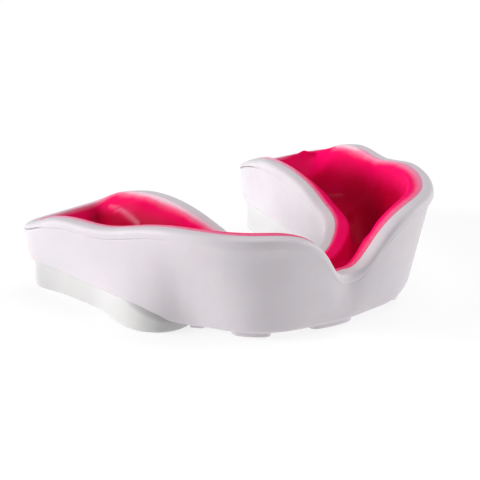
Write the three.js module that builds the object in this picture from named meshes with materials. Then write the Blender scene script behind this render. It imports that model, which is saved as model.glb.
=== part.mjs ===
// Boxing mouthguard for the upper teeth: a white outer shell with a rolled collar, a pink gel liner
// bonded inside it, and bite pads underneath. Millimetres, +Z up (towards the gums), front teeth
// towards -Y, the wearer's molars towards +Y. The biting side stands on Z = 0.
import * as THREE from 'three';
import { mergeVertices } from 'three/addons/utils/BufferGeometryUtils.js';

// ---------------------------------------------------------------- driving dimensions
// Ribs across one half of the arch, from the front midline to the last molar. Each rib runs from
// the cheek side to the tongue side of the collar; station is its distance along the arch.
const RIBS = [
  { station: 0, cheek: [0, -22.2], tongue: [0, -8.2] },
  { station: 4.3, cheek: [5.5, -23.6], tongue: [3.3, -8.2] },
  { station: 9.0, cheek: [12.3, -23.4], tongue: [6.0, -7.6] },
  { station: 13.5, cheek: [18.4, -20.5], tongue: [7.9, -6.3] },
  { station: 17.7, cheek: [22.7, -15.7], tongue: [8.8, -4.2] },
  { station: 22.1, cheek: [25.6, -10.0], tongue: [9.2, -1.6] },
  { station: 27.2, cheek: [27.5, -3.7], tongue: [9.8, 2.0] },
  { station: 33.5, cheek: [29.6, 3.5], tongue: [10.5, 7.0] },
  { station: 39.4, cheek: [31.2, 10.0], tongue: [11.2, 12.0] },
  { station: 45.4, cheek: [32.0, 16.5], tongue: [12.2, 17.5] },
  { station: 52.8, cheek: [31.7, 23.5], tongue: [13.3, 25.0] },
];
const ARCH_END = 52.8;     // station of the molar ends
const END_LENGTH = 8;      // length of each rounded end
const END_SQUARENESS = 5;  // exponent of the rounded end: 2 is an ellipse, more is squarer

// Heights as [station, height]. The cheek rim has the lip notch at the midline, stands highest at
// the canines, is waisted at the premolars and falls to the ends.
const CHEEK_RIM = [[0, 8.9], [1.8, 9.3], [4.3, 13.3], [9, 17.4], [13.5, 17.9], [17.7, 18.0], [22.1, 17.9],
  [27.2, 16.9], [33.5, 15.3], [39.4, 15.1], [45.4, 13.8], [49.3, 12.4], [52.8, 11.6]];
const TONGUE_RIM = [[0, 7.0], [9, 8.5], [13.5, 10.7], [17.7, 11.9], [22.1, 12.9], [28, 14.4],
  [34, 15.3], [39.4, 15.4], [45.4, 14.6], [50, 13.1], [52.8, 11.6]];
const UNDERSIDE = [[0, 1.0], [20.5, 1.0], [31, 4.7], [52.8, 4.8]];

// How far the foot of each wall stands in from the collar's edge, as [station, inset].
const CHEEK_FOOT = [[0, 0.2], [4.3, 2.2], [9, 3.3], [13.5, 4.0], [17.7, 4.7], [21.9, 4.0], [24.5, 1.9],
  [28.3, 0.2], [33.5, 0.7], [39.4, 1.6], [45.4, 1.5], [52.8, 0.2]];
const TONGUE_FOOT = [[0, 1.6], [27.2, 1.4], [52.8, 0.4]];
const END_FOOT = 0.1;
// Foot of the cheek wall's inner face; the other walls are WALL thick all round.
const CHEEK_LINING = [[0, 1.9], [4.3, 3.7], [9, 4.9], [13.5, 5.6], [17.7, 6.2], [22.5, 5.4], [28.3, 3.3],
  [33.5, 2.7], [39.4, 3.1], [45.4, 3.0], [52.8, 1.8]];
const FOOT_RADIUS = [[0, 0.9], [33.5, 1.0], [45.4, 2.1], [52.8, 2.7]];

const GAP = 0.3;  // bond line between two pieces

// Collar round the top of the shell. Round the molar ends its top slopes outwards like a roof.
const COLLAR_WIDTH = 1.9;
const COLLAR_HEIGHT = [[0, 1.7], [13.5, 1.9], [27.2, 1.6], [52.8, 1.4]];
const COLLAR_UNDERCUT = [[0, 0.3], [9, 0.4], [17.7, 0.6], [30, 0.25], [52.8, 0.25]];
const COLLAR_ROUND = 0.9;
const ROOF = [[0, 0], [41, 0], [46.5, 1], [52.8, 1]];
const ROOF_DROP = 0.2;
const ROOF_WIDTH = 0.9;

const WALL = 1.5;          // shell wall
const SHELL_FLOOR = 1.6;
const FLOOR_FILLET = 1.1;
const LINER_FLOOR = 1.6;
const LINER_WALL = 1.2;
const LIP_WIDTH = [[0, 1.8], [13.5, 2.4], [22.1, 1.9], [33.5, 1.3], [45, 1.5], [52.8, 2.6]];
const LIP_RISE = 0.1;      // liner above the collar
const LIP_SLOPE = 0.35;    // fall of the liner's lip towards the teeth
const ROOF_SLOPE = 0.55;   // and the extra fall round the molar ends
const LIP_ROUND = 0.4;

const BITE_PAD = { from: 22.3, to: 52.4, ends: 3.6, squareness: 3.4, tongueInset: 1.2, bevel: 0.6 };
const PAD_INSET = [[22.3, -0.6], [26, -0.6], [38, 2.2], [45, 2.3], [52.8, 1.5]];
const FRONT_PADS = [
  { name: 'front_pad_center', from: -5.0, to: 1.9, inset: 1.0, depth: 4.5 },
  { name: 'front_pad_left', from: -15.9, to: -10.6, inset: 1.1, depth: 3.8 },
  { name: 'front_pad_right', from: 10.6, to: 15.9, inset: 1.1, depth: 3.8 },
];
const SIDE_STUD = { from: 19.9, to: 22.0, inset: 1.9, depth: 2.6 };
const FRONT_PAD_ENDS = 1 / 3;  // share of a front pad's length taken by each rounded end
const FRONT_PAD_SQUARENESS = 4;
const FRONT_PAD_BEVEL = 0.25;
const PAD_TOP_SHARES = [0, 0.35, 0.7, 1];  // points across a pad's top, from its edge to its middle

// Facets along each side and round each end.
const ARCH_FACETS = { sideSteps: 48, endSteps: 5 };
const BITE_PAD_FACETS = { sideSteps: 18, endSteps: 5 };
const FRONT_PAD_FACETS = { sideSteps: 3, endSteps: 3 };
const TROUGH_FACETS = 7;

// ---------------------------------------------------------------- curves
// Natural cubic spline through [t, value] knots.
function spline(knots) {
  const t = knots.map((knot) => knot[0]);
  const v = knots.map((knot) => knot[1]);
  const last = knots.length - 1;
  const bend = new Array(last + 1).fill(0);
  const rest = new Array(last + 1).fill(0);
  for (let i = 1; i < last; i += 1) {
    const share = (t[i] - t[i - 1]) / (t[i + 1] - t[i - 1]);
    const pivot = share * bend[i - 1] + 2;
    const turn = (v[i + 1] - v[i]) / (t[i + 1] - t[i]) - (v[i] - v[i - 1]) / (t[i] - t[i - 1]);
    bend[i] = (share - 1) / pivot;
    rest[i] = ((6 * turn) / (t[i + 1] - t[i - 1]) - share * rest[i - 1]) / pivot;
  }
  for (let i = last - 1; i >= 0; i -= 1) bend[i] = bend[i] * bend[i + 1] + rest[i];
  return (at) => {
    let k = 0;
    while (k < last - 1 && at > t[k + 1]) k += 1;
    const span = t[k + 1] - t[k];
    const a = (t[k + 1] - at) / span;
    const b = (at - t[k]) / span;
    const curve = ((a ** 3 - a) * bend[k] + (b ** 3 - b) * bend[k + 1]) * span ** 2;
    return a * v[k] + b * v[k + 1] + curve / 6;
  };
}

// Spline of a half arch carried over to the other half; sign is -1 for a value that changes sides.
function mirrored(knots, sign = 1) {
  const other = knots.slice(1).reverse().map(([t, v]) => [-t, sign * v]);
  return spline([...other, ...knots]);
}

// Eased runs between knots, the same on both halves, for values that must not overshoot.
function steps(knots) {
  return (at) => {
    const t = Math.min(Math.abs(at), knots.at(-1)[0]);
    const k = Math.max(1, knots.findIndex((knot) => knot[0] >= t));
    const [[t0, v0], [t1, v1]] = [knots[k - 1], knots[k]];
    return THREE.MathUtils.lerp(v0, v1, THREE.MathUtils.smoothstep(t, t0, t1));
  };
}

const outline = {};
for (const side of ['cheek', 'tongue']) {
  outline[side] = {
    x: mirrored(RIBS.map((rib) => [rib.station, rib[side][0]]), -1),
    y: mirrored(RIBS.map((rib) => [rib.station, rib[side][1]])),
  };
}
const cheekRim = mirrored(CHEEK_RIM);
const tongueRim = mirrored(TONGUE_RIM);
const underside = steps(UNDERSIDE);
const cheekFoot = mirrored(CHEEK_FOOT);
const cheekLining = mirrored(CHEEK_LINING);
const tongueFoot = steps(TONGUE_FOOT);
const footRadius = steps(FOOT_RADIUS);
const collarHeight = steps(COLLAR_HEIGHT);
const collarUndercut = steps(COLLAR_UNDERCUT);
const roof = steps(ROOF);
const lipWidth = steps(LIP_WIDTH);
const padInset = steps(PAD_INSET);

// Point of the arch at a station; across runs from -1 on the tongue side to 1 on the cheek side.
function plan(station, across) {
  const share = (1 + across) / 2;
  const blend = (axis) => THREE.MathUtils.lerp(
    outline.tongue[axis](station), outline.cheek[axis](station), share);
  return new THREE.Vector2(blend('x'), blend('y'));
}

const width = (station) => plan(station, 1).distanceTo(plan(station, -1));

// ---------------------------------------------------------------- lofts
// Columns round a closed band of the arch, counter-clockwise seen from above. Each column runs from
// its tip on the band's edge straight to the band's middle line. Its reach is half the band's width,
// so insets keep their size along the sides and shrink with the outline round the ends.
function band({ from, to, ends, squareness, cheekInset, tongueInset, sideSteps, endSteps }) {
  const edge = (station, side) => (side > 0
    ? 1 - (2 * cheekInset(station)) / width(station)
    : -1 + (2 * tongueInset(station)) / width(station));
  const centre = (station) => (edge(station, 1) + edge(station, -1)) / 2;
  const columns = [];
  const add = (station, side, fullness) => {
    const middle = THREE.MathUtils.clamp(station, from + ends, to - ends);
    const across = THREE.MathUtils.lerp(centre(station), edge(station, side), fullness);
    const tip = plan(station, across);
    const core = plan(middle, centre(middle));
    const reach = plan(middle, edge(middle, side)).distanceTo(core);
    columns.push({ station, middle, side, tip, core, reach, end: 1 - fullness });
  };
  const goRound = (side) => {
    const heel = side > 0 ? from : to;
    for (let i = 0; i < endSteps; i += 1) {
      const angle = (Math.PI / 2) * (1 - i / endSteps);
      const along = ends * Math.sin(angle) ** (2 / squareness);
      add(heel + side * (ends - along), side, Math.cos(angle) ** (2 / squareness));
    }
    for (let i = 0; i <= sideSteps; i += 1) {
      const run = (i / sideSteps) * (to - from - 2 * ends);
      add(heel + side * (ends + run), side, 1);
    }
    for (let i = 1; i < endSteps; i += 1) {
      const angle = ((Math.PI / 2) * i) / endSteps;
      const along = ends * Math.sin(angle) ** (2 / squareness);
      add(heel + side * (to - from - ends + along), side, Math.cos(angle) ** (2 / squareness));
    }
  };
  goRound(1);
  goRound(-1);
  return columns;
}

// Closed skin over the columns. section(column) lists [inset, height] from the middle of the
// underside out to the wall, up, over and back in to the middle of the top.
function loft(columns, section) {
  const rings = columns.map((column) => section(column).map(([inset, height]) => {
    const at = column.tip.clone().lerp(column.core, Math.min(1, inset / column.reach));
    return [at.x, at.y, height];
  }));
  const rows = rings[0].length;
  const index = [];
  for (let c = 0; c < rings.length; c += 1) {
    const next = (c + 1) % rings.length;
    for (let r = 0; r < rows - 1; r += 1) {
      const [a, b] = [c * rows + r, next * rows + r];
      index.push(a, b, b + 1, a, b + 1, a + 1);
    }
  }
  const loose = new THREE.BufferGeometry();
  loose.setAttribute('position', new THREE.Float32BufferAttribute(rings.flat(2), 3));
  loose.setIndex(index);
  return withoutSlivers(mergeVertices(loose, 1e-3));
}

// Drops the triangles whose corners have been merged into one another.
function withoutSlivers(geometry) {
  const corners = geometry.index.array;
  const kept = [];
  for (let i = 0; i < corners.length; i += 3) {
    const [a, b, c] = [corners[i], corners[i + 1], corners[i + 2]];
    if (a !== b && b !== c && c !== a) kept.push(a, b, c);
  }
  geometry.setIndex(kept);
  geometry.computeVertexNormals();
  return geometry;
}

// Quarter bend from one section point to another, pulled towards the corner between them.
function bend([x0, y0], [cx, cy], [x1, y1], pieces = 3) {
  const curve = new THREE.QuadraticBezierCurve(
    new THREE.Vector2(x0, y0), new THREE.Vector2(cx, cy), new THREE.Vector2(x1, y1));
  return curve.getPoints(pieces).map((point) => [point.x, point.y]);
}

// ---------------------------------------------------------------- section measures
const rimHeight = ({ station, side }) => (side > 0 ? cheekRim(station) : tongueRim(station));
const floorHeight = ({ middle }) => underside(middle) + SHELL_FLOOR;

function footInset({ station, side, end }) {
  const alongSide = side > 0 ? cheekFoot(station) : tongueFoot(station);
  return THREE.MathUtils.lerp(alongSide, END_FOOT, THREE.MathUtils.smoothstep(end, 0, 1));
}

function liningInset({ station, side, end }) {
  const alongSide = side > 0 ? cheekLining(station) : tongueFoot(station) + WALL;
  return THREE.MathUtils.lerp(alongSide, END_FOOT + WALL, THREE.MathUtils.smoothstep(end, 0, 1));
}

// ---------------------------------------------------------------- pieces
function shellSection(column) {
  const rim = rimHeight(column);
  const under = underside(column.middle);
  const floor = floorHeight(column);
  const foot = footInset(column);
  const radius = footRadius(column.station);
  const parting = rim - collarHeight(column.station);
  const undercut = collarUndercut(column.station);
  const ridge = roof(column.station);
  const wallAt = (height) => THREE.MathUtils.mapLinear(height, under, parting, foot, undercut);
  const wallFrom = under + radius;
  const inner = liningInset(column);
  const wall = [1, 2, 3].map((i) => {
    const height = THREE.MathUtils.lerp(wallFrom, parting, i / 3);
    return [wallAt(height), height];
  });
  const crown = COLLAR_ROUND + ROOF_WIDTH * ridge;
  const shoulder = rim - COLLAR_ROUND - ROOF_DROP * ridge;
  return [
    [column.reach, under],
    [(column.reach + foot + radius) / 2, under],
    ...bend([foot + radius, under], [foot, under], [wallAt(wallFrom), wallFrom]),
    ...wall,
    ...bend([0, shoulder], [0, rim - ROOF_DROP * ridge], [crown, rim]),
    [COLLAR_WIDTH, rim],
    [(COLLAR_WIDTH + inner) / 2, (rim + floor + FLOOR_FILLET) / 2],
    ...bend([inner, floor + FLOOR_FILLET], [inner, floor], [inner + FLOOR_FILLET, floor], 2),
    [column.reach, floor],
  ];
}

function linerSection(column) {
  const rim = rimHeight(column);
  const top = rim + LIP_RISE;
  const bed = floorHeight(column) + GAP;
  const trough = bed + LINER_FLOOR;
  const outerFoot = liningInset(column) + GAP;
  const outerTop = COLLAR_WIDTH + GAP;
  const innerTop = outerTop + lipWidth(column.station);
  const innerFoot = Math.max(outerFoot + LINER_WALL, innerTop);
  const edge = top - LIP_SLOPE - ROOF_SLOPE * roof(column.station);
  return [
    [column.reach, bed],
    ...bend([outerFoot + FLOOR_FILLET, bed], [outerFoot, bed], [outerFoot, bed + FLOOR_FILLET], 2),
    [(outerTop + outerFoot) / 2, (rim + bed + FLOOR_FILLET) / 2],
    [outerTop, rim - LIP_ROUND],
    ...bend([outerTop, top - LIP_ROUND / 2], [outerTop, top], [outerTop + LIP_ROUND, top], 2),
    ...bend([innerTop - LIP_ROUND, edge], [innerTop, edge], [innerTop, edge - LIP_ROUND], 2),
    ...bend(
      [innerTop, edge - LIP_ROUND], [innerFoot, trough], [column.reach, trough], TROUGH_FACETS).slice(1),
  ];
}

// Block under the shell from Z = 0 up to the bond line, with bevelled lower edges.
const padSection = (bevel) => (column) => {
  const top = PAD_TOP_SHARES.map((share) => {
    const station = THREE.MathUtils.lerp(column.station, column.middle, share);
    return [share * column.reach, underside(station) - GAP];
  });
  return [
    [column.reach, 0],
    ...bend([bevel, 0], [0, 0], [0, bevel], 2),
    ...top,
  ];
};

const white = { color: 0xece7ea, roughness: 0.42, metalness: 0 };
const pink = { color: 0xe8265f, roughness: 0.3, metalness: 0 };
const padWhite = { color: 0xe6e6e6, roughness: 0.5, metalness: 0 };

function piece(name, geometry, look) {
  const mesh = new THREE.Mesh(geometry, new THREE.MeshStandardMaterial(look));
  mesh.name = name;
  return mesh;
}

const wholeArch = band({
  from: -ARCH_END,
  to: ARCH_END,
  ends: END_LENGTH,
  squareness: END_SQUARENESS,
  cheekInset: () => 0,
  tongueInset: () => 0,
  ...ARCH_FACETS,
});

function bitePad(name, side) {
  const columns = band({
    from: side > 0 ? BITE_PAD.from : -BITE_PAD.to,
    to: side > 0 ? BITE_PAD.to : -BITE_PAD.from,
    ends: BITE_PAD.ends,
    squareness: BITE_PAD.squareness,
    cheekInset: (station) => cheekFoot(station) + padInset(station),
    tongueInset: (station) => tongueFoot(station) + BITE_PAD.tongueInset,
    ...BITE_PAD_FACETS,
  });
  return piece(name, loft(columns, padSection(BITE_PAD.bevel)), padWhite);
}

// Low pad under the front teeth, from the foot of the cheek wall inwards.
function frontPad({ name, from, to, inset, depth }) {
  const cheekInset = (station) => cheekFoot(station) + inset;
  const columns = band({
    from,
    to,
    ends: (to - from) * FRONT_PAD_ENDS,
    squareness: FRONT_PAD_SQUARENESS,
    cheekInset,
    tongueInset: (station) => width(station) - cheekInset(station) - depth,
    ...FRONT_PAD_FACETS,
  });
  return piece(name, loft(columns, padSection(FRONT_PAD_BEVEL)), padWhite);
}

const guard = new THREE.Group();
guard.name = 'mouthguard';
guard.add(piece('outer_shell', loft(wholeArch, shellSection), white));
guard.add(piece('gel_liner', loft(wholeArch, linerSection), pink));
guard.add(bitePad('bite_pad_left', -1));
guard.add(bitePad('bite_pad_right', 1));
FRONT_PADS.forEach((pad) => guard.add(frontPad(pad)));
for (const [name, side] of [['side_stud_left', -1], ['side_stud_right', 1]]) {
  const [near, far] = [side * SIDE_STUD.from, side * SIDE_STUD.to];
  guard.add(frontPad({ ...SIDE_STUD, name, from: Math.min(near, far), to: Math.max(near, far) }));
}

// The origin is the middle of the base.
const extent = new THREE.Box3().setFromObject(guard);
const middle = extent.getCenter(new THREE.Vector3());
guard.position.set(-middle.x, -middle.y, -extent.min.z);

export default guard;
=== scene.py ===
"""Looks of the boil-and-bite mouthguard: white shell, pink gel liner and white bite pads."""
import math
from collections import namedtuple

import bmesh
import bpy
import numpy as np
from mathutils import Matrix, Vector, noise


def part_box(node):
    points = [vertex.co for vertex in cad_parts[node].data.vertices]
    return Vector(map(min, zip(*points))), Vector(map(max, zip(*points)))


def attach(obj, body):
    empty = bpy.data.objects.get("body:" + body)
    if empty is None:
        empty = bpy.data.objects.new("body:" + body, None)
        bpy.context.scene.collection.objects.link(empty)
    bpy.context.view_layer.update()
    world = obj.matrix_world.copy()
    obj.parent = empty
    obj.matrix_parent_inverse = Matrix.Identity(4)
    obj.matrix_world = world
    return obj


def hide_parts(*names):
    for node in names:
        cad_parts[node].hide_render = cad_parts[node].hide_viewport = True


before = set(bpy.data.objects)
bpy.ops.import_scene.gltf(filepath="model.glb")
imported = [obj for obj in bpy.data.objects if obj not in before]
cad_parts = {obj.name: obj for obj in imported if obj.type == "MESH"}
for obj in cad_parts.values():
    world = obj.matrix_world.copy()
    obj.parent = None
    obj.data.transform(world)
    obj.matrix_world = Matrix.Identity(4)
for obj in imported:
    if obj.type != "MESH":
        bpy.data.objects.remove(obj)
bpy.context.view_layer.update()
MM = 0.001


# ------------------------------------------------------------------ curves
def spline(knots):
    """Natural cubic spline through (station, value) knots."""
    places, values = (np.array(part, float) for part in zip(*knots))
    last = len(places) - 1
    gaps = np.diff(places)
    slopes = np.diff(values) / gaps
    system = np.eye(last + 1)
    right = np.zeros(last + 1)
    for i in range(1, last):
        system[i, i - 1:i + 2] = gaps[i - 1], 2 * (gaps[i - 1] + gaps[i]), gaps[i]
        right[i] = 6 * (slopes[i] - slopes[i - 1])
    curl = np.linalg.solve(system, right)

    def value(at):
        at = np.asarray(at, float)
        k = np.clip(np.searchsorted(places, at) - 1, 0, last - 1)
        span = places[k + 1] - places[k]
        before = (places[k + 1] - at) / span
        after = (at - places[k]) / span
        cubic = ((before ** 3 - before) * curl[k] + (after ** 3 - after) * curl[k + 1]) * span ** 2 / 6
        return before * values[k] + after * values[k + 1] + cubic
    return value


def mirrored(knots, sign=1):
    """Spline of a half arch, carried over to the other half."""
    other = [(-station, sign * value) for station, value in reversed(knots[1:])]
    return spline(other + list(knots))


def ease(x):
    x = np.clip(x, 0, 1)
    return x * x * (3 - 2 * x)


def steps(knots):
    """Eased runs between (station, value) knots; knots that start at 0 hold on both halves."""
    places, values = (np.array(part, float) for part in zip(*knots))

    def value(at):
        at = np.clip(np.abs(at) if places[0] >= 0 else at, places[0], places[-1])
        k = np.clip(np.searchsorted(places, at) - 1, 0, len(places) - 2)
        share = (at - places[k]) / (places[k + 1] - places[k])
        return values[k] + (values[k + 1] - values[k]) * ease(share)
    return value


# ------------------------------------------------------------------ sizes in mm
# The plan, the rims, the underside and the feet of the walls are those of the CAD part. A curve whose
# knots start at station 0 is the same on both halves; one whose knots start at -52.8 runs from the
# molars on the -X side to those on the +X side.

# Half arch, from the front midline to the last molar: station, cheek side, tongue side.
RIBS = [
    (0, (0, -22.2), (0, -8.2)),
    (4.3, (5.5, -23.6), (3.3, -8.2)),
    (9.0, (12.3, -23.4), (6.0, -7.6)),
    (13.5, (18.4, -20.5), (7.9, -6.3)),
    (17.7, (22.7, -15.7), (8.8, -4.2)),
    (22.1, (25.6, -10.0), (9.2, -1.6)),
    (27.2, (27.5, -3.7), (9.8, 2.0)),
    (33.5, (29.6, 3.5), (10.5, 7.0)),
    (39.4, (31.2, 10.0), (11.2, 12.0)),
    (45.4, (32.0, 16.5), (12.2, 17.5)),
    (52.8, (31.7, 23.5), (13.3, 25.0)),
]
ARCH_END = 52.8       # station of the molar ends
END_LENGTH = 8.0      # length of each rounded end
END_SQUARENESS = 5.0  # exponent of the rounded end: 2 is an ellipse, more is squarer
ARCH_STEPS = {"side_steps": 240, "end_steps": 26}

# Heights.
cheek_rim = mirrored([(0, 8.9), (1.8, 9.3), (4.3, 13.3), (9, 17.4), (13.5, 17.9), (17.7, 18.0), (22.1, 17.9),
                      (27.2, 16.9), (33.5, 15.3), (39.4, 15.1), (45.4, 13.8), (49.3, 12.4), (52.8, 11.6)])
tongue_rim = mirrored([(0, 7.0), (9, 8.5), (13.5, 10.7), (17.7, 11.9), (22.1, 12.9), (28, 14.4), (34, 15.3),
                       (39.4, 15.4), (45.4, 14.6), (50, 13.1), (52.8, 11.6)])
underside = steps([(0, 1.0), (20.5, 1.0), (31, 4.7), (52.8, 4.8)])

# How far the foot of each wall, outside and inside, stands in from the collar's edge.
cheek_foot = mirrored([(0, 0.2), (4.3, 2.2), (9, 3.3), (13.5, 4.0), (17.7, 4.7), (21.9, 4.0), (24.5, 1.9),
                       (28.3, 0.2), (33.5, 0.7), (39.4, 1.6), (45.4, 1.5), (52.8, 0.2)])
cheek_lining = mirrored([(0, 1.9), (4.3, 3.7), (9, 4.9), (13.5, 5.6), (17.7, 6.2), (22.5, 5.4), (28.3, 3.3),
                         (33.5, 2.7), (39.4, 3.1), (45.4, 3.0), (52.8, 1.8)])
tongue_foot = steps([(0, 1.6), (27.2, 1.4), (52.8, 0.4)])
END_FOOT = 0.1
foot_radius = steps([(-52.8, 2.7), (-45.4, 2.1), (-35, 1.0), (-31, 0.5), (-25, 0.4), (-20, 0.7), (7, 0.8),
                     (13, 2.4), (19, 3.6), (25, 3.2), (31, 0.9), (35, 1.0), (45.4, 2.1), (52.8, 2.7)])
WALL = 1.5
SHELL_FLOOR = 1.6
FLOOR_FILLET = 1.0

# Collar, and the step from the wall out to it. Round the molar ends its top slopes outwards, like a roof.
COLLAR_WIDTH = 1.9
COLLAR_ROUND = 0.9    # how far in the rounding of its outer edge reaches
COLLAR_BEND = 0.8     # and how far down
collar_height = steps([(0, 1.7), (13.5, 1.9), (27.2, 1.6), (52.8, 1.4)])
roof = steps([(0, 0.0), (41, 0.0), (46.5, 1.0), (52.8, 1.0)])
ROOF_DROP = 0.2
cheek_step = steps([(-52.8, 0.15), (-30, 0.15), (-20, 0.25), (-4, 0.25), (5, 0.25), (12, 0.4), (19, 0.85),
                    (27, 0.5), (36, 0.25), (52.8, 0.2)])
TONGUE_STEP = 0.12

# Sharpness of the parting line under the collar, where 1 is a crease and 0 is a soft shoulder that
# spreads further down the wall and up the collar.
cheek_crease = steps([(-52.8, 1.0), (-28, 1.0), (-20, 0.15), (-16, 0.0), (-4, 0.0), (0, 0.5), (4, 0.7),
                      (20, 0.7), (30, 1.0), (52.8, 1.0)])
CREASE_DEPTH = 0.14
SHOULDER = 0.25
SOFT_BELOW = 1.1
SOFT_ABOVE = 0.5
SWELL = 0.04
SOFT_SWELL = 0.3

# How rough the collar is; how much the parting line rises and falls, and how much more where the collar
# is rough; and how much of the roof's slope a rough collar has.
cheek_rough = steps([(-52.8, 0.0), (0.5, 0.0), (4.5, 1.0), (20, 1.0), (26, 0.0), (52.8, 0.0)])
PARTING_WAVE = 0.04
ROUGH_WAVE = 0.22
ROUGH_RIDGE = 0.6

# Gel liner. Its lip falls towards the teeth and breaks into the trough at a ledge, except at the
# molars, where it slides straight down.
LINER_FLOOR = 1.6
LINER_WALL = 1.2
lip_width = steps([(0, 1.8), (13.5, 2.4), (22.1, 1.9), (33.5, 1.3), (45, 1.5), (52.8, 2.6)])
LIP_RISE = 0.08       # liner above the collar
LIP_ROUND = 0.3
LIP_FLAT = 0.6
LIP_SLOPE = 0.35      # fall of the lip towards the teeth
ROOF_SLOPE = 0.55     # and the extra fall round the molar ends
LEDGE_ROUND = 0.5
TROUGH_LEAN = 0.4
slide_share = steps([(0, 0.0), (38, 0.0), (47, 1.0), (52.8, 1.0)])
SLIDE_KNEE = 0.35     # height of the bend in the slide, as a share of the trough's depth
PRESS = 0.05          # the gel is pressed this far into the shell, so the bond shows no gap
BONDED_ROWS = 9       # rows of the liner's section that lie against the shell and take no marks

# Ridges and hollows in the hand-poured gel: from (station, across) to (station, across), radius, rise,
# and a tint: painted highlight on the gel where positive, painted shade where negative.
GEL_MARKS = [
    ((-47.6, -0.63), (-40.0, -0.56), 0.22, 0.2, 0.35),
    ((-48.5, -0.45), (-44.5, -0.35), 1.4, -0.7, -0.8),
    ((50.7, 0.46), (50.7, 0.46), 0.8, 0.4, 0.0),
    ((49.5, 0.60), (49.5, 0.60), 0.6, -0.4, 0.0),
    ((-20.2, 0.80), (-19.8, 0.80), 0.35, -0.2, 0.0),
    ((4.9, 0.52), (5.3, 0.52), 0.4, -0.3, 0.0),
    ((3.7, 0.55), (3.9, 0.55), 0.4, 0.2, 0.0),
    ((37.9, 0.14), (37.5, 0.18), 0.55, 0.5, 0.06),
    ((36.8, 0.26), (37.0, 0.24), 0.5, 0.4, 0.06),
    ((29.6, 0.02), (28.6, -0.02), 0.6, -0.6, 0.0),
]

# Width of the pink film on the collar's rim and of the pale bloom inside the liner's lip; the bloom is
# partly pale thin gel and partly painted highlight on the lip.
cheek_film = steps([(-52.8, 0.5), (-38, 0.4), (-20, 0.3), (14, 0.2), (22, 0.3), (34, 0.5), (52.8, 0.4)])
tongue_film = steps([(-52.8, 0.6), (-42, 0.9), (-22, 0.8), (-10, 0.25), (30, 0.2), (42, 0.6), (52.8, 0.6)])
cheek_bloom = steps([(-52.8, 2.2), (-50, 3.2), (-42, 2.4), (-36, 1.2), (10, 1.6), (24, 2.4), (34, 2.4),
                     (40, 3.2), (45, 2.6), (48, 0.8), (52.8, 0.8)])
tongue_bloom = steps([(-52.8, 2.2), (-48, 1.4), (-43, 2.6), (-36, 3.2), (-20, 2.6), (-8, 1.0), (10, 0.6),
                      (30, 0.9), (42, 1.5), (52.8, 1.5)])

# How pale the film and the bloom are where they meet, and the share of white in the bloom, which is
# painted wet highlight.
cheek_pale = steps([(-52.8, 1.0), (-38, 0.8), (-20, 0.6), (0, 0.25), (10, 0.5), (24, 0.9), (36, 0.9),
                    (45, 0.9), (48, 0.3), (52.8, 0.3)])
tongue_pale = steps([(-52.8, 1.0), (-42, 1.0), (-20, 0.9), (-8, 0.35), (10, 0.35), (28, 0.5), (42, 0.95),
                     (52.8, 0.95)])
cheek_wet_highlight = steps([(-52.8, 0.7), (-50, 0.6), (-45, 0.2), (-38, 0.0), (36, 0.0), (40, 0.9), (45, 0.9),
                    (48, 0.0), (52.8, 0.0)])
tongue_wet_highlight = steps([(-52.8, 0.6), (-48, 0.2), (-43, 0.8), (-36, 0.9), (-20, 0.7), (-10, 0.0), (30, 0.0),
                     (42, 0.5), (52.8, 0.5)])

# Painted shade in the trough: the gel's colour starts to darken this far under the rim, and is darkest
# this much further down.
SHADE_FROM = 0.3
SHADE_OVER = 5.0

# Bite pads: their cheek side, in from the wall's foot, and the rounding of their lower edge. The pad on
# the +X side is a little smaller and rounder at its front end; both are rounder at the molar end.
BITE_PAD = {"start": 22.3, "stop": 52.4, "ends": 3.6, "squareness": 3.4, "tongue_inset": 1.2}
BITE_PAD_STEPS = {"side_steps": 60, "end_steps": 20}
pad_inset = steps([(-52.8, 1.5), (-45, 2.3), (-38, 2.2), (-26, -0.6), (-22.3, -0.6), (22.3, 2.4), (28, 1.8),
                   (38, 2.2), (45, 2.3), (52.8, 1.5)])
pad_radius = steps([(-52.8, 1.6), (-44, 1.4), (-30, 0.6), (-22, 0.5), (22, 1.8), (30, 1.2), (40, 1.0),
                    (52.8, 1.0)])
MOLAR_END_FROM = 40
MOLAR_END_ROUNDER = 0.8
PAD_TOP_SHARES = (0, 0.2, 0.4, 0.6, 0.8, 1)  # points across a pad's top, from its edge to its middle
PAD_SINK = 1.0                               # how far a pad's top edge runs up into the shell
PAD_LEAN = 0.9                               # and how far it leans in on the way

FRONT_PADS = [
    {"name": "front_pad_center", "start": -5.0, "stop": 1.9, "inset": 1.0, "depth": 4.5},
    {"name": "front_pad_left", "start": -15.9, "stop": -10.6, "inset": 1.1, "depth": 3.8},
    {"name": "front_pad_right", "start": 10.6, "stop": 15.9, "inset": 1.1, "depth": 3.8},
]
SIDE_STUD = {"start": 19.9, "stop": 22.0, "inset": 1.9, "depth": 2.6}
FRONT_PAD_STEPS = {"side_steps": 16, "end_steps": 12}
FRONT_PAD_ENDS = 1 / 3    # share of a front pad's length taken by each rounded end
FRONT_PAD_SQUARENESS = 4.0
FRONT_PAD_RADIUS = 0.3    # rounding of its lower edge
FRONT_PAD_FLARE = 0.45    # how far its side spreads out at the top
FRONT_PAD_SINK = 0.4      # how far it runs up into the shell

# ------------------------------------------------------------------ colours
# Whites: base tone, clouds and pinker specks.
SHELL_WHITES = ((0.68, 0.64, 0.675), (0.65, 0.615, 0.65), (0.67, 0.61, 0.65))
PAD_WHITES = ((0.62, 0.615, 0.615), (0.60, 0.595, 0.59), (0.61, 0.59, 0.595))
# Gel: its colour where it is lit, and the painted shade that it darkens to down in the trough.
GEL_BRIGHT = (0.90, 0.002, 0.124)
GEL_PAINTED_SHADE = (0.42, 0.0002, 0.027)
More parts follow.
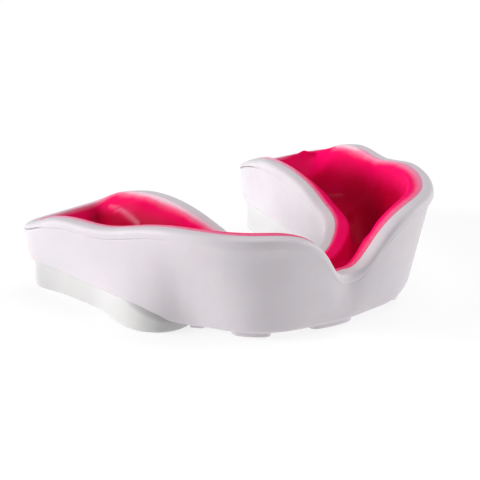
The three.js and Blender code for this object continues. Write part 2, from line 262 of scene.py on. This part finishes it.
# Pale pink of the gel's film on the white collar; on the gel it also paints the bloom, partly painted
# highlight, and the painted highlights of the pale marks.
FILM_AND_HIGHLIGHT_PINK = (0.84, 0.38, 0.54)
# White of the painted wet highlights on the gel's lip.
WET_HIGHLIGHT_WHITE = (0.80, 0.70, 0.75)

# ------------------------------------------------------------------ camera and stage, in metres
AZIMUTH = math.radians(-38.0)
ELEVATION = math.radians(20.0)
DISTANCE = 0.450
TARGET = Vector((0.0, 0.005222, 0.008))
AIM_DROP = 0.001525
NEAREST = 0.01
FOCAL_MM = 206.9
SENSOR_MM = 36.0

# Name, direction, distance, size and strength.
LIGHTS = [
    ("key", (-0.8, 0.5, 0.28), 2.0, 1.2, 1.04),
    ("top", (0.25, -0.1, 1.0), 2.0, 2.0, 0.56),
    ("fill", (1.0, -0.55, 0.25), 2.0, 1.2, 0.48),
]
SKY_STRENGTH = 0.14
FLOOR_REACH = 4.0
FLOOR_DROP = 0.05 * MM
FLOOR_TONE = 0.3
FLOOR_GLOW = 0.74


# ------------------------------------------------------------------ plan of the arch
def edge_curves(column):
    """Curves of X and Y along the edge of the collar that this column of the ribs gives."""
    return (mirrored([(rib[0], rib[column][0]) for rib in RIBS], -1),
            mirrored([(rib[0], rib[column][1]) for rib in RIBS]))


cheek_edge = edge_curves(1)
tongue_edge = edge_curves(2)


def plan(station, across):
    """Point of the arch; across runs from -1 on the tongue side to 1 on the cheek side."""
    share = (1 + np.asarray(across)) / 2
    cheek = np.stack([curve(station) for curve in cheek_edge], -1)
    tongue = np.stack([curve(station) for curve in tongue_edge], -1)
    return tongue + (cheek - tongue) * share[..., None]


def width(station):
    """Distance from the tongue side to the cheek side."""
    whole = np.ones_like(station)
    return np.linalg.norm(plan(station, whole) - plan(station, -whole), axis=-1)


class Band:
    """Columns round a closed band of the arch, each from the band's edge in to its middle line.

    Each column has its station, its side (1 cheek, -1 tongue), the station where it meets the middle
    line (middle), how far round an end it is (end, 0 to 1), its outer point (tip), its inner point
    (core), and half the band's width there (reach).
    """

    def __init__(self, start, stop, ends, squareness, side_steps, end_steps,
                 cheek_inset=np.zeros_like, tongue_inset=np.zeros_like):
        angle = np.linspace(0, math.pi / 2, end_steps + 1)
        along = ends * np.sin(angle) ** (2 / squareness)
        full = np.clip(np.cos(angle), 0, 1) ** (2 / squareness)
        straight = np.linspace(start + ends, stop - ends, side_steps + 1)
        heel = start + ends - along[::-1]
        toe = stop - ends + along
        station = np.concatenate([heel[:-1], straight, toe[1:]])
        fullness = np.concatenate([full[::-1][:-1], np.ones_like(straight), full[1:]])
        self.station = np.concatenate([station[:-1], station[::-1][:-1]])
        fullness = np.concatenate([fullness[:-1], fullness[::-1][:-1]])
        self.side = np.concatenate([np.ones(len(station) - 1), -np.ones(len(station) - 1)])
        self.middle = np.clip(self.station, start + ends, stop - ends)
        self.end = 1 - fullness
        self.cheek_inset = cheek_inset
        self.tongue_inset = tongue_inset
        centre = self.centre(self.station)
        self.tip = plan(self.station, centre + (self.own_edge(self.station) - centre) * fullness)
        self.core = plan(self.middle, self.centre(self.middle))
        self.reach = np.linalg.norm(plan(self.middle, self.own_edge(self.middle)) - self.core, axis=-1)

    def edge(self, station, side):
        if side > 0:
            return 1 - 2 * self.cheek_inset(station) / width(station)
        return -1 + 2 * self.tongue_inset(station) / width(station)

    def own_edge(self, station):
        """Edge on each column's own side."""
        return np.where(self.side > 0, self.edge(station, 1), self.edge(station, -1))

    def centre(self, station):
        return (self.edge(station, 1) + self.edge(station, -1)) / 2


def shift_to_frame(arch):
    """How far the plan moves along Y, in metres, to lie where the CAD shell does."""
    low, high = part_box("outer_shell")
    return (low.y + high.y - MM * (arch.tip[:, 1].min() + arch.tip[:, 1].max())) / 2


whole_arch = Band(-ARCH_END, ARCH_END, END_LENGTH, END_SQUARENESS, **ARCH_STEPS)
arch_shift = shift_to_frame(whole_arch)


# ------------------------------------------------------------------ lofts
Surface = namedtuple("Surface", "inset height marks")


def bend(first, corner, last, pieces):
    """Quadratic bend between two section points, pulled towards the corner."""
    return [tuple((1 - t) ** 2 * a + 2 * t * (1 - t) * b + t * t * c
                  for a, b, c in zip(first, corner, last))
            for t in np.linspace(0, 1, pieces + 1)]


def run(first, last, pieces):
    """Straight stretch of a section, without its two ends."""
    return [tuple(a + (b - a) * t for a, b in zip(first, last))
            for t in np.linspace(0, 1, pieces + 1)[1:-1]]


def mark_gel(points):
    """Raises and sinks the gel at its marks, where points are (x, y, z) in mm; returns their tints: painted
    highlight where positive, painted shade where negative.
    """
    ground = points[..., :2]
    tints = np.zeros(ground.shape[:-1])
    for start, stop, radius, rise, tint in GEL_MARKS:
        first, last = plan(*start), plan(*stop)
        along = last - first
        share = np.clip(((ground - first) @ along) / max(along @ along, 1e-9), 0, 1)
        away = np.linalg.norm(ground - first - share[..., None] * along, axis=-1)
        points[..., 2] += rise * np.exp(-(away / radius) ** 2)
        tints += tint * np.exp(-(away / radius) ** 2)
    return tints


def weld(mesh):
    """Joins the points that meet on the middle line, and smooths the shading."""
    skin = bmesh.new()
    skin.from_mesh(mesh)
    bmesh.ops.remove_doubles(skin, verts=skin.verts, dist=0.002 * MM)
    bmesh.ops.dissolve_degenerate(skin, edges=skin.edges, dist=0.001 * MM)
    for face in skin.faces:
        face.smooth = True
    skin.to_mesh(mesh)
    skin.free()


def loft(name, band, section, tints=None, marked_from=None):
    """Closed smooth mesh over a band; section lists (inset, height) rows from below round to above.

    Rows from marked_from on take the gel's marks. Each tint becomes a vertex attribute of its name.
    """
    insets = np.stack([np.broadcast_to(inset, band.station.shape) for inset, height in section])
    heights = np.stack([np.broadcast_to(height, band.station.shape) for inset, height in section])
    share = np.minimum(1, insets / band.reach)[..., None]
    points = np.concatenate([band.tip + (band.core - band.tip) * share, heights[..., None]], -1)
    marks = np.zeros(insets.shape)
    if marked_from:
        marks[marked_from:] = mark_gel(points[marked_from:])
    corners = points.reshape(-1, 3) * MM
    corners[:, 1] += arch_shift
    n_rows, n_columns = insets.shape
    faces = []
    for row in range(n_rows - 1):
        low, high = row * n_columns, (row + 1) * n_columns
        for column in range(n_columns):
            beside = (column + 1) % n_columns
            faces.append((low + column, low + beside, high + beside, high + column))
    mesh = bpy.data.meshes.new(name)
    mesh.from_pydata(corners.tolist(), [], faces)
    surface = Surface(insets, points[..., 2], marks)
    for label, tint in (tints or {}).items():
        layer = mesh.attributes.new(label, "FLOAT", "POINT")
        layer.data.foreach_set("value", tint(band, surface).astype(np.float32).ravel())
    weld(mesh)
    piece = bpy.data.objects.new(name, mesh)
    bpy.context.scene.collection.objects.link(piece)
    return piece


# ------------------------------------------------------------------ measures along a band
def by_side(band, cheek, tongue):
    """The cheek curve on the cheek side; the tongue curve, or number, on the tongue side."""
    beyond = tongue(band.station) if callable(tongue) else tongue
    return np.where(band.side > 0, cheek(band.station), beyond)


def rim_height(band):
    return by_side(band, cheek_rim, tongue_rim)


def floor_height(band):
    return underside(band.middle) + SHELL_FLOOR


def foot_inset(band):
    along = by_side(band, cheek_foot, tongue_foot)
    return along + (END_FOOT - along) * ease(band.end)


def lining_inset(band):
    along = by_side(band, cheek_lining, tongue_foot(band.station) + WALL)
    return along + (END_FOOT + WALL - along) * ease(band.end)


def wander(band, length):
    """Smooth random value, about -1 to 1, that changes along the arch over the given length."""
    return np.array([noise.noise(Vector((station / length, 4.7 * side, 0)))
                     for station, side in zip(band.station, band.side)])


# ------------------------------------------------------------------ tints
def paleness(band):
    return by_side(band, cheek_pale, tongue_pale)


# Share of white painted wet highlight in the gel's bloom; the film on the white thins where it is.
def wet_highlight_share(band):
    return by_side(band, cheek_wet_highlight, tongue_wet_highlight)


def shell_film(band, surface):
    """Pink film over the white: strongest at the bond line, 0 clear of it."""
    away = np.abs(COLLAR_WIDTH - surface.inset) + np.abs(rim_height(band) - surface.height)
    reach = by_side(band, cheek_film, tongue_film) * (1 + 0.5 * wander(band, length=1.3))
    return paleness(band) * (1 - wet_highlight_share(band)) * ease(1 - away / reach)


def gel_bloom_and_highlight(band, surface):
    """Pale bloom on the gel, partly pale thin gel and partly painted highlight: strongest at the bond line, 0
    inside the trough.
    """
    inwards = np.maximum(0, surface.inset - COLLAR_WIDTH)
    away = inwards + np.abs(rim_height(band) + LIP_RISE - surface.height)
    reach = by_side(band, cheek_bloom, tongue_bloom) * (1 + 0.12 * wander(band, length=1.7))
    return paleness(band) * ease(1 - away / reach)


def gel_film_and_highlight(band, surface):
    """Bloom and the painted highlights of the pale marks together."""
    return np.maximum(gel_bloom_and_highlight(band, surface), surface.marks)


def gel_wet_highlight(band, surface):
    """Share of painted wet-highlight white in the gel's bloom."""
    return wet_highlight_share(band) * gel_bloom_and_highlight(band, surface)


def gel_painted_shade(band, surface):
    """Painted shade of the gel: 0 on the lip, 1 down in the trough, more at the marks with painted shade."""
    depth = ease((rim_height(band) - surface.height - SHADE_FROM) / SHADE_OVER)
    return depth - np.minimum(surface.marks, 0)


# ------------------------------------------------------------------ sections
def shell_section(band):
    """Underside, rounded foot, wall, parting line, collar, inner wall and floor."""
    rim = rim_height(band)
    under = underside(band.middle)
    floor = floor_height(band)
    foot = foot_inset(band)
    inner = lining_inset(band)
    radius = foot_radius(band.station)
    inside = foot + radius
    wall_from = under + radius

    rough = by_side(band, cheek_rough, 0.0)
    wave = wander(band, length=2.3) * (PARTING_WAVE + ROUGH_WAVE * rough)
    parting = rim - collar_height(band.station) + wave
    step = by_side(band, cheek_step, TONGUE_STEP)
    sharp = by_side(band, cheek_crease, 1.0)
    soft = 1 - sharp
    ragged = 1 + 0.5 * wander(band, length=3.1) + rough * (1 + 1.5 * wander(band, length=1.2))
    groove = CREASE_DEPTH * sharp * ragged
    notch = step * (1 - 0.5 * soft) + groove
    swell = SWELL + SOFT_SWELL * soft
    wall_to = parting - SHOULDER - SOFT_BELOW * soft
    collar_from = np.minimum(parting + SHOULDER + SOFT_ABOVE * soft, rim - COLLAR_ROUND)

    ridge = np.maximum(roof(band.station), ROUGH_RIDGE * rough)
    top_inset = COLLAR_ROUND * (1 + ridge)

    def wall_at(height):
        return foot + (step - foot) * (height - under) / (parting - under)
    return [
        (band.reach, under),
        *run((band.reach, under), (inside, under), 6),
        *bend((inside, under), (foot, under), (wall_at(wall_from), wall_from), 10),
        *run((wall_at(wall_from), wall_from), (wall_at(wall_to), wall_to), 14),
        *bend((wall_at(wall_to), wall_to), (wall_at(parting), parting - swell), (notch, parting), 8),
        *bend((notch, parting), (0.3 * groove, parting + swell), (0.0, collar_from), 9)[1:],
        *bend((0.0, rim - COLLAR_BEND - 0.5 * ridge), (0.0, rim - ROOF_DROP * ridge), (top_inset, rim), 12),
        *run((top_inset, rim), (COLLAR_WIDTH, rim), 5),
        (COLLAR_WIDTH, rim),
        *run((COLLAR_WIDTH, rim), (inner, floor + FLOOR_FILLET), 6),
        *bend((inner, floor + FLOOR_FILLET), (inner, floor), (inner + FLOOR_FILLET, floor), 4),
        (band.reach, floor),
    ]


def liner_section(band):
    """Bed and wall against the shell, lip, and the trough for the teeth."""
    rim = rim_height(band)
    top = rim + LIP_RISE
    bed = floor_height(band) - PRESS
    trough = bed + LINER_FLOOR
    outer_foot = lining_inset(band) - PRESS
    outer_top = COLLAR_WIDTH - PRESS
    inner_top = outer_top + lip_width(band.station)
    inner_foot = np.maximum(outer_foot + LINER_WALL, inner_top + TROUGH_LEAN)
    edge = top - LIP_SLOPE - ROOF_SLOPE * roof(band.station)
    lip_from = (outer_top + LIP_FLAT, top)
    lip_to = (inner_top - LEDGE_ROUND, edge + 0.1)
    wall_from = (inner_top + 0.05, edge - LEDGE_ROUND)
    ledge = [
        *run(lip_from, lip_to, 4),
        *bend(lip_to, (inner_top, edge), wall_from, 6),
        *bend(wall_from, (inner_foot, trough), (band.reach, trough), 40),
    ]
    knee = (inner_foot, trough + SLIDE_KNEE * (top - trough))
    slide = bend(lip_from, knee, (band.reach, trough), len(ledge))[1:]
    sliding = slide_share(band.station)
    return [
        (band.reach, bed),
        *bend((outer_foot + FLOOR_FILLET, bed), (outer_foot, bed), (outer_foot, bed + FLOOR_FILLET), 4),
        *run((outer_foot, bed + FLOOR_FILLET), (outer_top, rim - LIP_ROUND), 5),
        (outer_top, rim - LIP_ROUND),
        *bend((outer_top, rim - 0.03), (outer_top + 0.15, top), lip_from, 5),
        *(tuple(a + (b - a) * sliding for a, b in zip(*pair)) for pair in zip(ledge, slide)),
    ]


def bite_pad_section(band):
    """Block with rounded lower edges; its top is sunk into the rounded foot of the shell."""
    rounder = MOLAR_END_ROUNDER * ease(band.end) * (np.abs(band.station) > MOLAR_END_FROM)
    radius = pad_radius(band.middle) * (1 + rounder)
    ceiling = [underside(band.station + (band.middle - band.station) * share) for share in PAD_TOP_SHARES]
    lowest = ceiling[0]
    return [
        (band.reach, 0.0),
        *run((band.reach, 0.0), (radius, 0.0), 4),
        *bend((radius, 0.0), (0.0, 0.0), (0.0, radius), 8),
        *run((0.0, radius), (0.0, lowest - 0.3), 6),
        *bend((0.0, lowest - 0.3), (0.0, lowest + 0.1), (PAD_LEAN, lowest + PAD_SINK), 6),
        *((np.maximum(PAD_LEAN + 0.2, share * band.reach), height + PRESS)
          for share, height in zip(PAD_TOP_SHARES[1:], ceiling[1:])),
    ]


def front_pad_section(band):
    """Low pad whose side flares out into the rounded foot of the wall."""
    ceiling = underside(band.middle)
    radius = FRONT_PAD_RADIUS
    return [
        (band.reach, 0.0),
        *run((band.reach, 0.0), (radius, 0.0), 4),
        *bend((radius, 0.0), (0.0, 0.0), (0.0, radius), 6),
        *bend((0.0, radius), (-0.05, ceiling), (-FRONT_PAD_FLARE, ceiling + 0.15), 8)[1:],
        (0.0, ceiling + FRONT_PAD_SINK),
        (band.reach, ceiling + FRONT_PAD_SINK),
    ]


def bite_pad_band(side):
    start, stop = sorted((side * BITE_PAD["start"], side * BITE_PAD["stop"]))
    return Band(start, stop, BITE_PAD["ends"], BITE_PAD["squareness"], **BITE_PAD_STEPS,
                cheek_inset=lambda station: cheek_foot(station) + pad_inset(station),
                tongue_inset=lambda station: tongue_foot(station) + BITE_PAD["tongue_inset"])


def front_pad_band(start, stop, inset, depth):
    return Band(start, stop, (stop - start) * FRONT_PAD_ENDS, FRONT_PAD_SQUARENESS, **FRONT_PAD_STEPS,
                cheek_inset=lambda station: cheek_foot(station) + inset,
                tongue_inset=lambda station: width(station) - cheek_foot(station) - inset - depth)


# ------------------------------------------------------------------ materials
class Nodes:
    """Node tree of a new material, with short calls for the nodes that the materials here use."""

    def __init__(self, name):
        self.material = bpy.data.materials.new(name)
        self.material.use_nodes = True
        self.tree = self.material.node_tree
        self.shader = self.tree.nodes["Principled BSDF"]
        self.place = self.tree.nodes.new("ShaderNodeTexCoord").outputs["Object"]

    def feed(self, socket, value):
        """Links an output to the socket, or sets the socket to a colour or a number."""
        if isinstance(value, bpy.types.NodeSocket):
            self.tree.links.new(value, socket)
        elif isinstance(value, tuple):
            socket.default_value = (*value, 1)
        else:
            socket.default_value = value

    def noise(self, size_mm, detail, roughness=0.5):
        node = self.tree.nodes.new("ShaderNodeTexNoise")
        node.inputs["Scale"].default_value = 1 / (size_mm * MM)
        node.inputs["Detail"].default_value = detail
        node.inputs["Roughness"].default_value = roughness
        self.feed(node.inputs["Vector"], self.place)
        return node.outputs["Fac"]

    def spread(self, value, low, high, to_low=0.0, to_high=1.0):
        """Carries the range low to high over to the range to_low to to_high, and cuts off the rest."""
        node = self.tree.nodes.new("ShaderNodeMapRange")
        node.clamp = True
        self.feed(node.inputs["Value"], value)
        for label, number in (("From Min", low), ("From Max", high), ("To Min", to_low), ("To Max", to_high)):
            node.inputs[label].default_value = number
        return node.outputs["Result"]

    def mix(self, factor, first, second):
        node = self.tree.nodes.new("ShaderNodeMix")
        node.data_type = "RGBA"
        for label, value in (("Factor", factor), ("A", first), ("B", second)):
            self.feed(node.inputs[label], value)
        return node.outputs["Result"]

    def math(self, operation, first, second):
        node = self.tree.nodes.new("ShaderNodeMath")
        node.operation = operation
        self.feed(node.inputs[0], first)
        self.feed(node.inputs[1], second)
        return node.outputs["Value"]

    def attribute(self, name):
        node = self.tree.nodes.new("ShaderNodeAttribute")
        node.attribute_name = name
        return node.outputs["Fac"]

    def bump(self, height, depth_mm, below=None):
        node = self.tree.nodes.new("ShaderNodeBump")
        node.inputs["Strength"].default_value = 1.0
        node.inputs["Distance"].default_value = depth_mm * MM
        self.feed(node.inputs["Height"], height)
        if below:
            self.feed(node.inputs["Normal"], below)
        return node.outputs["Normal"]

    def finish(self, colour, grain, gloss, grain_depth_mm, waves, wave_depth_mm):
        """Colour, roughness between the two gloss values, and bump from a fine grain over soft waves."""
        self.feed(self.shader.inputs["Base Color"], colour)
        self.feed(self.shader.inputs["Roughness"], self.spread(grain, 0.3, 0.7, *gloss))
        wavy = self.bump(waves, wave_depth_mm)
        self.feed(self.shader.inputs["Normal"], self.bump(grain, grain_depth_mm, wavy))

    def scatter(self, weight, radius, scale_mm, specular):
        """Light under the skin, and the strength of the reflections."""
        self.shader.inputs["Subsurface Weight"].default_value = weight
        self.shader.inputs["Subsurface Radius"].default_value = radius
        self.shader.inputs["Subsurface Scale"].default_value = scale_mm * MM
        self.shader.inputs["Specular IOR Level"].default_value = specular


def film_edge(nodes):
    """The film attribute with its edge broken up, as gel creeps over an edge unevenly."""
    film = nodes.attribute("film")
    ragged = nodes.spread(nodes.noise(0.9, detail=2.0), 0.3, 0.7, -0.06, 0.06)
    at_edge = nodes.math("MULTIPLY", film, nodes.math("SUBTRACT", 1.0, film))
    lively = nodes.math("MULTIPLY", ragged, at_edge)
    return nodes.math("ADD", film, nodes.math("MULTIPLY", lively, 4.0))


def white_rubber(name, whites, film=False):
    nodes = Nodes(name)
    base, clouds, specks = whites
    colour = nodes.mix(nodes.spread(nodes.noise(9.0, detail=2.0), 0.35, 0.65), base, clouds)
    colour = nodes.mix(nodes.spread(nodes.noise(3.5, detail=4.0), 0.5, 0.75), colour, specks)
    if film:
        colour = nodes.mix(film_edge(nodes), colour, FILM_AND_HIGHLIGHT_PINK)
    nodes.finish(colour, grain=nodes.noise(0.35, detail=4.0, roughness=0.6), gloss=(0.42, 0.58),
                 grain_depth_mm=0.012, waves=nodes.noise(4.0, detail=2.0), wave_depth_mm=0.12)
    nodes.scatter(weight=0.35, radius=(1.0, 0.75, 0.8), scale_mm=0.5, specular=0.35)
    return nodes.material


def pink_gel(name):
    nodes = Nodes(name)
    # Painted shade: the gel darkens down the trough and at the marks with painted shade, broken up by random
    # clouds.
    cloudy = nodes.spread(nodes.noise(6.0, detail=3.0), 0.2, 0.8, -0.15, 0.15)
    shade_and_clouds = nodes.math("ADD", nodes.attribute("depth"), cloudy)
    colour = nodes.mix(shade_and_clouds, GEL_BRIGHT, GEL_PAINTED_SHADE)
    # Pale pink of the bloom, partly painted highlight, and the painted highlights of the pale marks.
    colour = nodes.mix(film_edge(nodes), colour, FILM_AND_HIGHLIGHT_PINK)
    # White of the painted wet highlights on the lip.
    colour = nodes.mix(nodes.spread(nodes.attribute("painted_wet_highlight"), 0.35, 0.9), colour, WET_HIGHLIGHT_WHITE)
    nodes.finish(colour, grain=nodes.noise(0.5, detail=4.0, roughness=0.6), gloss=(0.3, 0.45),
                 grain_depth_mm=0.008, waves=nodes.noise(3.2, detail=1.0), wave_depth_mm=0.08)
    nodes.scatter(weight=0.15, radius=(1.0, 0.1, 0.2), scale_mm=1.0, specular=0.02)
    return nodes.material


# ------------------------------------------------------------------ pieces
def adopt(piece, node, material):
    """Gives a piece its material and lets it stand for its CAD node."""
    piece.data.materials.append(material)
    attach(piece, "root")
    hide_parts(node)


def build_mouthguard():
    white = white_rubber("shell_white", SHELL_WHITES, film=True)
    pad_white = white_rubber("pad_white", PAD_WHITES)
    pink = pink_gel("gel_pink")

    shell = loft("shell", whole_arch, shell_section(whole_arch), {"film": shell_film})
    adopt(shell, "outer_shell", white)
    # On the gel, film holds the bloom and the marks' painted highlights, and depth holds the painted shade
    # down the trough.
    gel_tints = {"film": gel_film_and_highlight, "painted_wet_highlight": gel_wet_highlight, "depth": gel_painted_shade}
    liner = loft("liner", whole_arch, liner_section(whole_arch), gel_tints, BONDED_ROWS)
    adopt(liner, "gel_liner", pink)

    for name, side in (("left", -1), ("right", 1)):
        band = bite_pad_band(side)
        pad = loft("bite_pad_look_" + name, band, bite_pad_section(band))
        adopt(pad, "bite_pad_" + name, pad_white)
        start, stop = sorted((side * SIDE_STUD["start"], side * SIDE_STUD["stop"]))
        band = front_pad_band(start, stop, SIDE_STUD["inset"], SIDE_STUD["depth"])
        stud = loft("stud_look_" + name, band, front_pad_section(band))
        adopt(stud, "side_stud_" + name, white)
    for entry in FRONT_PADS:
        band = front_pad_band(entry["start"], entry["stop"], entry["inset"], entry["depth"])
        pad = loft(entry["name"] + "_look", band, front_pad_section(band))
        adopt(pad, entry["name"], white)


# ------------------------------------------------------------------ camera and stage
def place_camera():
    back = Vector((math.sin(AZIMUTH) * math.cos(ELEVATION), -math.cos(AZIMUTH) * math.cos(ELEVATION),
                   math.sin(ELEVATION)))
    right = Vector((math.cos(AZIMUTH), math.sin(AZIMUTH), 0))
    up = back.cross(right)
    data = bpy.data.cameras.new("camera")
    data.lens = FOCAL_MM
    data.sensor_width = SENSOR_MM
    data.clip_start = NEAREST
    camera = bpy.data.objects.new("camera", data)
    aim = TARGET - up * AIM_DROP
    camera.location = aim + back * DISTANCE
    camera.rotation_euler = back.to_track_quat("Z", "Y").to_euler()
    bpy.context.scene.collection.objects.link(camera)
    bpy.context.scene.camera = camera


def area_light(name, direction, distance, size, strength):
    """Soft round light; strength is the brightness that it alone gives a white face turned to it."""
    way = Vector(direction).normalized()
    data = bpy.data.lights.new(name, "AREA")
    data.shape = "DISK"
    data.size = size
    data.energy = strength * (math.pi * distance) ** 2
    light = bpy.data.objects.new(name, data)
    light.location = way * distance
    light.rotation_euler = way.to_track_quat("Z", "Y").to_euler()
    bpy.context.scene.collection.objects.link(light)


def light_table():
    """White floor that glows weakly, so that hardly any shadow shows on it."""
    reach = FLOOR_REACH
    mesh = bpy.data.meshes.new("floor")
    mesh.from_pydata([(-reach, -reach, 0), (reach, -reach, 0), (reach, reach, 0), (-reach, reach, 0)], [],
                     [(0, 1, 2, 3)])
    floor = bpy.data.objects.new("floor", mesh)
    floor.location.z = -FLOOR_DROP
    bpy.context.scene.collection.objects.link(floor)
    paper = bpy.data.materials.new("white_paper")
    paper.use_nodes = True
    surface = paper.node_tree.nodes["Principled BSDF"]
    surface.inputs["Base Color"].default_value = (FLOOR_TONE, FLOOR_TONE, FLOOR_TONE, 1)
    surface.inputs["Roughness"].default_value = 1.0
    surface.inputs["Specular IOR Level"].default_value = 0.0
    surface.inputs["Emission Color"].default_value = (1, 1, 1, 1)
    surface.inputs["Emission Strength"].default_value = FLOOR_GLOW
    mesh.materials.append(paper)


def build_stage():
    light_table()
    world = bpy.data.worlds.new("studio")
    world.use_nodes = True
    sky = world.node_tree.nodes["Background"]
    sky.inputs["Color"].default_value = (1, 1, 1, 1)
    sky.inputs["Strength"].default_value = SKY_STRENGTH
    bpy.context.scene.world = world
    for light in LIGHTS:
        area_light(*light)
    bpy.context.scene.view_settings.view_transform = "Standard"


place_camera()
build_mouthguard()
build_stage()
